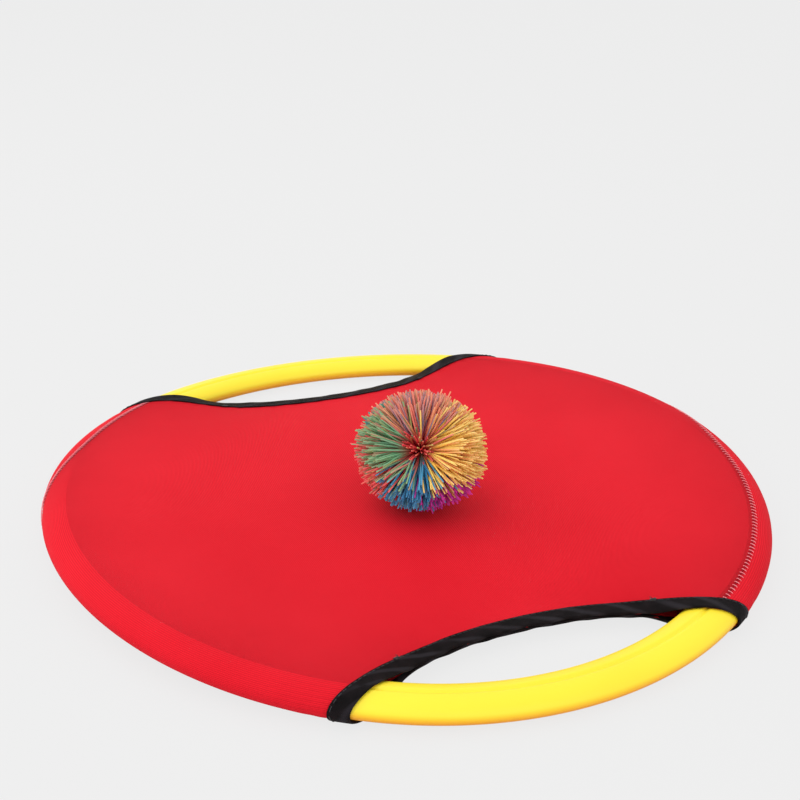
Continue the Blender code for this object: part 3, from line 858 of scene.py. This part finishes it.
def make_overlock(name, rim, material, replaced):
    """The overlocked seam along one rim: a ladder of slanting threads over a valley with painted shade.
    """
    first, last = (row_at(BINDING_WIDTH - STITCH_PITCH / 2, grip) for grip in (FRONT, REAR))
    rows = np.linspace(first, last, 400)
    seam = wrap_point(rows, rim, seam_turn(rows, rim), 0.0)
    run = np.concatenate([[0.0], np.cumsum(np.linalg.norm(np.diff(seam, axis=0), axis=1))])
    count = int(run[-1] / STITCH_PITCH)
    rng = np.random.default_rng(SEAM_SEED + rim)
    row = np.interp(np.linspace(0.0, run[-1], count), run, rows)[:, None]
    middle = seam_turn(row, rim)
    length = STITCH_LENGTH * rng.uniform(0.9, 1.1, (count, 1))
    share = np.linspace(-1.0, 1.0, 15)[None, :]
    turn = middle + share * length / 2 / turn_rate(middle)
    slant = STITCH_SLANT * (last - first) / count
    place = row + slant * share + rng.uniform(-0.06, 0.06, (count, 1)) * slant
    dive = 3.2 * THREAD_RADIUS * np.abs(share) ** 6
    lift = FABRIC_OUTSIDE - 0.3 * SEAM_VALLEY_DEPTH + 1.5 * THREAD_RADIUS - dive
    paths = wrap_point(place, rim, turn, lift)
    out_way = unit(wrap_point(place, rim, turn, lift + THREAD_RADIUS) - paths)
    plies = plied(paths, THREAD_RADIUS, THREAD_TWIST, out_way)
    radii = np.full(plies.shape[:2], THREAD_RADIUS * 0.72)
    step = (last - first) / count
    tangents = unit(wrap_point(row + step, rim, middle, 0.0) - wrap_point(row, rim, middle, 0.0))[:, 0]
    points, faces = tube_parts(plies, radii, 6, np.concatenate([tangents, tangents]))
    add_piece(name, mesh_of(name, points, faces), material, [replaced])


def share_at(row, x):
    """The share along a row at which it is this far to the right."""
    shares = np.linspace(-1.0, 1.0, 2001)
    return np.interp(x, span_plan(np.full_like(shares, row), shares)[0], shares)


def make_tack(name, grip, x, material, replaced):
    """Zigzag stitches over the tape's edge, with two cut thread ends that stand up."""
    steps = np.linspace(0.0, 1.0, TACK_TURNS * 12 + 1)
    along = x + (steps - 0.5) * TACK_LENGTH
    swing = np.cos(2 * math.pi * TACK_TURNS * steps)
    row = row_at(BINDING_WIDTH - TACK_WIDTH / 2 + swing * TACK_WIDTH, grip)
    shares = share_at(row_at(BINDING_WIDTH, grip), along)
    lift = BINDING_OUTSIDE + THREAD_RADIUS * (2.0 - 1.6 * np.abs(swing) ** 6)
    path = span_point(row, shares, lift, TOP)[None]
    radii = np.full(path.shape[:2], THREAD_RADIUS)
    points, faces = tube_parts(path, radii, 6, np.array([(0.0, 0.0, 1.0)]))
    bend = np.linspace(0.0, 1.0, 9)[:, None]
    middle = path[0, len(steps) // 2]
    ends = []
    for right, inward, up in TACK_ENDS:
        rise = np.array((0.0, 0.0, up)) * np.sin(bend * math.pi * 0.62)
        ends.append(middle + np.array((right, -grip * inward, 0.0)) * bend**1.5 + rise)
    radii = np.full((len(ends), len(bend)), THREAD_RADIUS * 0.8)
    ways = np.tile((0.0, 1.0, 0.1), (len(ends), 1))
    more, extra = tube_parts(np.array(ends), radii, 6, ways, len(points))
    mesh = mesh_of(name, np.concatenate([points, more]), faces + extra)
    add_piece(name, mesh, material, [replaced])


# Pieces of the ball


def ball_centre():
    x, y = BALL_PLACE
    return np.array((x, y, cover_top(x, y) + LAYER_GAP + BALL_HEIGHT / 2 - BALL_SETTLE))


def ball_way(right, up, towards):
    return unit(BALL_RIGHT * right + BALL_UP * up + BALL_TOWARDS * towards)


def even_ways(count):
    """Directions spread evenly over a sphere."""
    height = 1 - 2 * (np.arange(count) + 0.5) / count
    angle = math.pi * (3 - math.sqrt(5)) * np.arange(count)
    radius = np.sqrt(1 - height * height)
    return np.stack([radius * np.cos(angle), radius * np.sin(angle), height], axis=-1)


def leaned(ways, whorl):
    """Directions turned away from both ends of the whorl's axis, which leaves a crater at each. Also
    gives the nearer end, the way square to it and the angle from it."""
    least = math.radians(BALL_CRATER)
    cosine = ways @ whorl
    end = np.where(cosine >= 0, 1.0, -1.0)[:, None] * whorl
    side = unit(ways - (ways * end).sum(axis=1, keepdims=True) * end)
    angle = np.arccos(np.clip(np.abs(cosine), 0.0, 1.0))[:, None]
    angle = least + angle * (1 - least / (math.pi / 2))
    return end * np.cos(angle) + side * np.sin(angle), end, side, angle


def strand_lengths(count, rng):
    """Most strands reach alike. Some stay short, and a few stick out."""
    length = BALL_DIAMETER / 2 * (1 - np.abs(rng.normal(0.0, 0.035, (count, 1))))
    chance, place = rng.random((count, 1)), rng.uniform(0.0, 1.0, (count, 1))
    short, long = (least + (most - least) * place for least, most in (SHORT_REACH, LONG_REACH))
    reach = np.where(chance > 1 - LONG_STRANDS, long, STRAND_REACH)
    return length * np.where(chance < SHORT_STRANDS, short, reach)


def strand_paths(rng):
    """Every strand of the ball as a path from its root to its tip, and the colour it belongs to."""
    clumps = even_ways(STRAND_COUNT // STRAND_CLUMP)
    clumps = unit(clumps + rng.normal(0.0, CLUMP_SPREAD, clumps.shape))
    whorl = ball_way(*BALL_WHORL)
    ways = np.repeat(clumps, STRAND_CLUMP, axis=0)
    spread = rng.normal(0.0, TIP_SPREAD, ways.shape)
    tips, end, side, angle = leaned(unit(ways + spread), whorl)
    length = strand_lengths(len(tips), rng)
    root_angle = angle * smooth(math.radians(20), math.radians(90), angle) ** 0.5 * 0.9
    roots = end * np.cos(root_angle) + side * np.sin(root_angle)
    lean = unit(roots * 0.62 + tips * 0.38)
    share = np.linspace(0.0, 1.0, STRAND_STEPS)[None, :, None]
    start, control, finish = roots * BALL_ROOT, lean * 0.60 * length, tips * length
    paths = start[:, None] * (1 - share) ** 2 + control[:, None] * 2 * share * (1 - share)
    paths = paths + finish[:, None] * share**2
    sway = rng.normal(0.0, 1.0, (len(tips), 1, 3))
    paths = paths + sway * 0.0008 * share**2 + np.roll(sway, 1, axis=2) * 0.0006 * np.sin(4 * share)
    short = crater_paths(whorl, rng)
    colours = nearest_bundle(unit(tips + rng.normal(0.0, COLOUR_SPREAD, tips.shape)))
    red = np.full(len(short), list(STRANDS).index("red"))
    return np.concatenate([paths, short]), np.concatenate([colours, red])


def crater_paths(whorl, rng):
    """Short strands that stand in the two hollows where the others part."""
    share = np.linspace(0.0, 1.0, STRAND_STEPS)[None, :, None]
    paths = []
    for end in (whorl, -whorl):
        way = unit(end + rng.normal(0.0, 0.24, (CRATER_STRANDS, 3)))
        length = rng.uniform(0.42, 0.72, (CRATER_STRANDS, 1)) * BALL_DIAMETER / 2
        bend = rng.normal(0.0, 0.0012, (CRATER_STRANDS, 1, 3)) * share**2
        paths.append(way[:, None] * (BALL_ROOT + (length[:, None] - BALL_ROOT) * share) + bend)
    return np.concatenate(paths)


def nearest_bundle(ways):
    bundles = np.array([ball_way(*way) for way in STRANDS.values()])
    return np.argmax(ways @ bundles.T, axis=1)


def make_strands():
    """One piece for each colour, of hundreds of square rubber strands."""
    rng = np.random.default_rng(BALL_SEED)
    paths, colour = strand_paths(rng)
    paths = paths * (1.0, 1.0, BALL_HEIGHT / BALL_DIAMETER) + ball_centre()
    floor = cover_top(paths[..., 0], paths[..., 1]) + STRAND_WIDTH
    paths[..., 2] = np.maximum(paths[..., 2], floor)
    taper = np.linspace(1.0, 0.72, STRAND_STEPS)[None, :]
    widths = STRAND_WIDTH * rng.uniform(0.8, 1.15, (len(paths), 1)) * taper
    roll = unit(rng.normal(0.0, 1.0, (len(paths), 3)))
    for i, name in enumerate(STRANDS):
        chosen = colour == i
        points, faces = tube_parts(paths[chosen], widths[chosen] / 2, 4, roll[chosen])
        mesh = mesh_of(f"{name}_strands", points, faces, 0.0)
        material = strand_material(name, *STRAND_LOOKS[name])
        add_piece(f"{name}_strands", mesh, material, [f"ball_strands_{name}"])


def finish_tie():
    """The band at the ball's centre, kept from the part."""
    material = new_material("grey_tie_band", 0.6)
    weave = noise(material, 2400.0)
    colour = ramp(material, weave, [(0.3, linear(118, 118, 122)), (0.7, linear(146, 146, 150))])
    finish_material(material, colour, weave, 0.0001)
    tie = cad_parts["ball_tie"]
    tie.data.materials.clear()
    tie.data.materials.append(material)


# Studio


def make_floor():
    mesh = bpy.data.meshes.new("studio_floor")
    half = FLOOR_SIZE / 2
    corners = [(-half, -half, 0), (half, -half, 0), (half, half, 0), (-half, half, 0)]
    mesh.from_pydata(corners, [], [(0, 1, 2, 3)])
    floor = bpy.data.objects.new("studio_floor", mesh)
    bpy.context.scene.collection.objects.link(floor)
    material = new_material("studio_floor", 0.9, {"Specular IOR Level": 0.0})
    tree = material.node_tree
    shader = tree.nodes["Principled BSDF"]
    shader.inputs["Base Color"].default_value = (*linear(*[FLOOR_LEVEL] * 3), 1.0)
    glow = node(material, "Emission", {"Color": (*linear(*[BACKDROP_LEVEL] * 3), 1.0), "Strength": 1.0})
    path = node(material, "LightPath")
    seen = maths(material, "MULTIPLY", path.outputs["Is Camera Ray"], FLOOR_GLOW)
    blend = node(material, "MixShader", {0: seen, 1: shader.outputs[0], 2: glow.outputs[0]})
    tree.links.new(blend.outputs[0], tree.nodes["Material Output"].inputs["Surface"])
    mesh.materials.append(material)


def make_light(name, place, size, power):
    data = bpy.data.lights.new(name, "AREA")
    data.shape = "SQUARE"
    data.size = size
    data.energy = power
    light = bpy.data.objects.new(name, data)
    light.location = place
    light.rotation_euler = (-Vector(place)).to_track_quat("-Z", "Y").to_euler()
    bpy.context.scene.collection.objects.link(light)


def make_studio():
    scene = bpy.context.scene
    scene.view_settings.view_transform = "Standard"
    make_floor()
    make_light("key", KEY_PLACE, KEY_SIZE, KEY_POWER)
    make_light("fill", FILL_PLACE, FILL_SIZE, FILL_POWER)
    world = bpy.data.worlds.new("studio")
    world.use_nodes = True
    tree = world.node_tree
    background = tree.nodes["Background"]
    path = tree.nodes.new("ShaderNodeLightPath")
    seen = tree.nodes.new("ShaderNodeMath")
    seen.operation = "MAXIMUM"
    tree.links.new(path.outputs["Is Camera Ray"], seen.inputs[0])
    tree.links.new(path.outputs["Is Glossy Ray"], seen.inputs[1])
    level = tree.nodes.new("ShaderNodeMapRange")
    level.inputs["To Min"].default_value = AMBIENT
    level.inputs["To Max"].default_value = linear(BACKDROP_LEVEL)[0]
    tree.links.new(seen.outputs[0], level.inputs["Value"])
    tree.links.new(level.outputs["Result"], background.inputs["Strength"])
    background.inputs["Color"].default_value = (1.0, 1.0, 1.0, 1.0)
    scene.world = world
    data = bpy.data.cameras.new("camera")
    data.sensor_width = CAMERA_SENSOR
    data.lens = CAMERA_LENS
    data.clip_start = 0.01
    camera = bpy.data.objects.new("camera", data)
    camera.location = CAMERA_PLACE
    camera.rotation_euler = [math.radians(angle) for angle in CAMERA_ANGLES]
    scene.collection.objects.link(camera)
    scene.camera = camera


def main():
    make_studio()
    make_hoop()
    knit = knit_material()
    make_panel("knit_top_panel", TOP, knit, "cover_top_panel")
    make_panel("knit_bottom_panel", BOTTOM, knit, "cover_bottom_panel")
    pink = thread_material("pink_overlock_thread", (244, 112, 124), (255, 160, 168))
    make_overlock("left_overlock", LEFT, pink, "left_seam_thread")
    make_overlock("right_overlock", RIGHT, pink, "right_seam_thread")
    tape = tape_material()
    black = thread_material("black_sewing_thread", (22, 21, 24), (44, 43, 48))
    for place, grip in (("front", FRONT), ("rear", REAR)):
        make_tape(f"{place}_tape", grip, tape, black, f"{place}_binding")
        for end, x in (("left", -TACK_SPREAD / 2), ("right", TACK_SPREAD / 2)):
            make_tack(f"{place}_{end}_bar_tack", grip, x, black, f"{place}_{end}_tack")
    make_strands()
    finish_tie()


main()
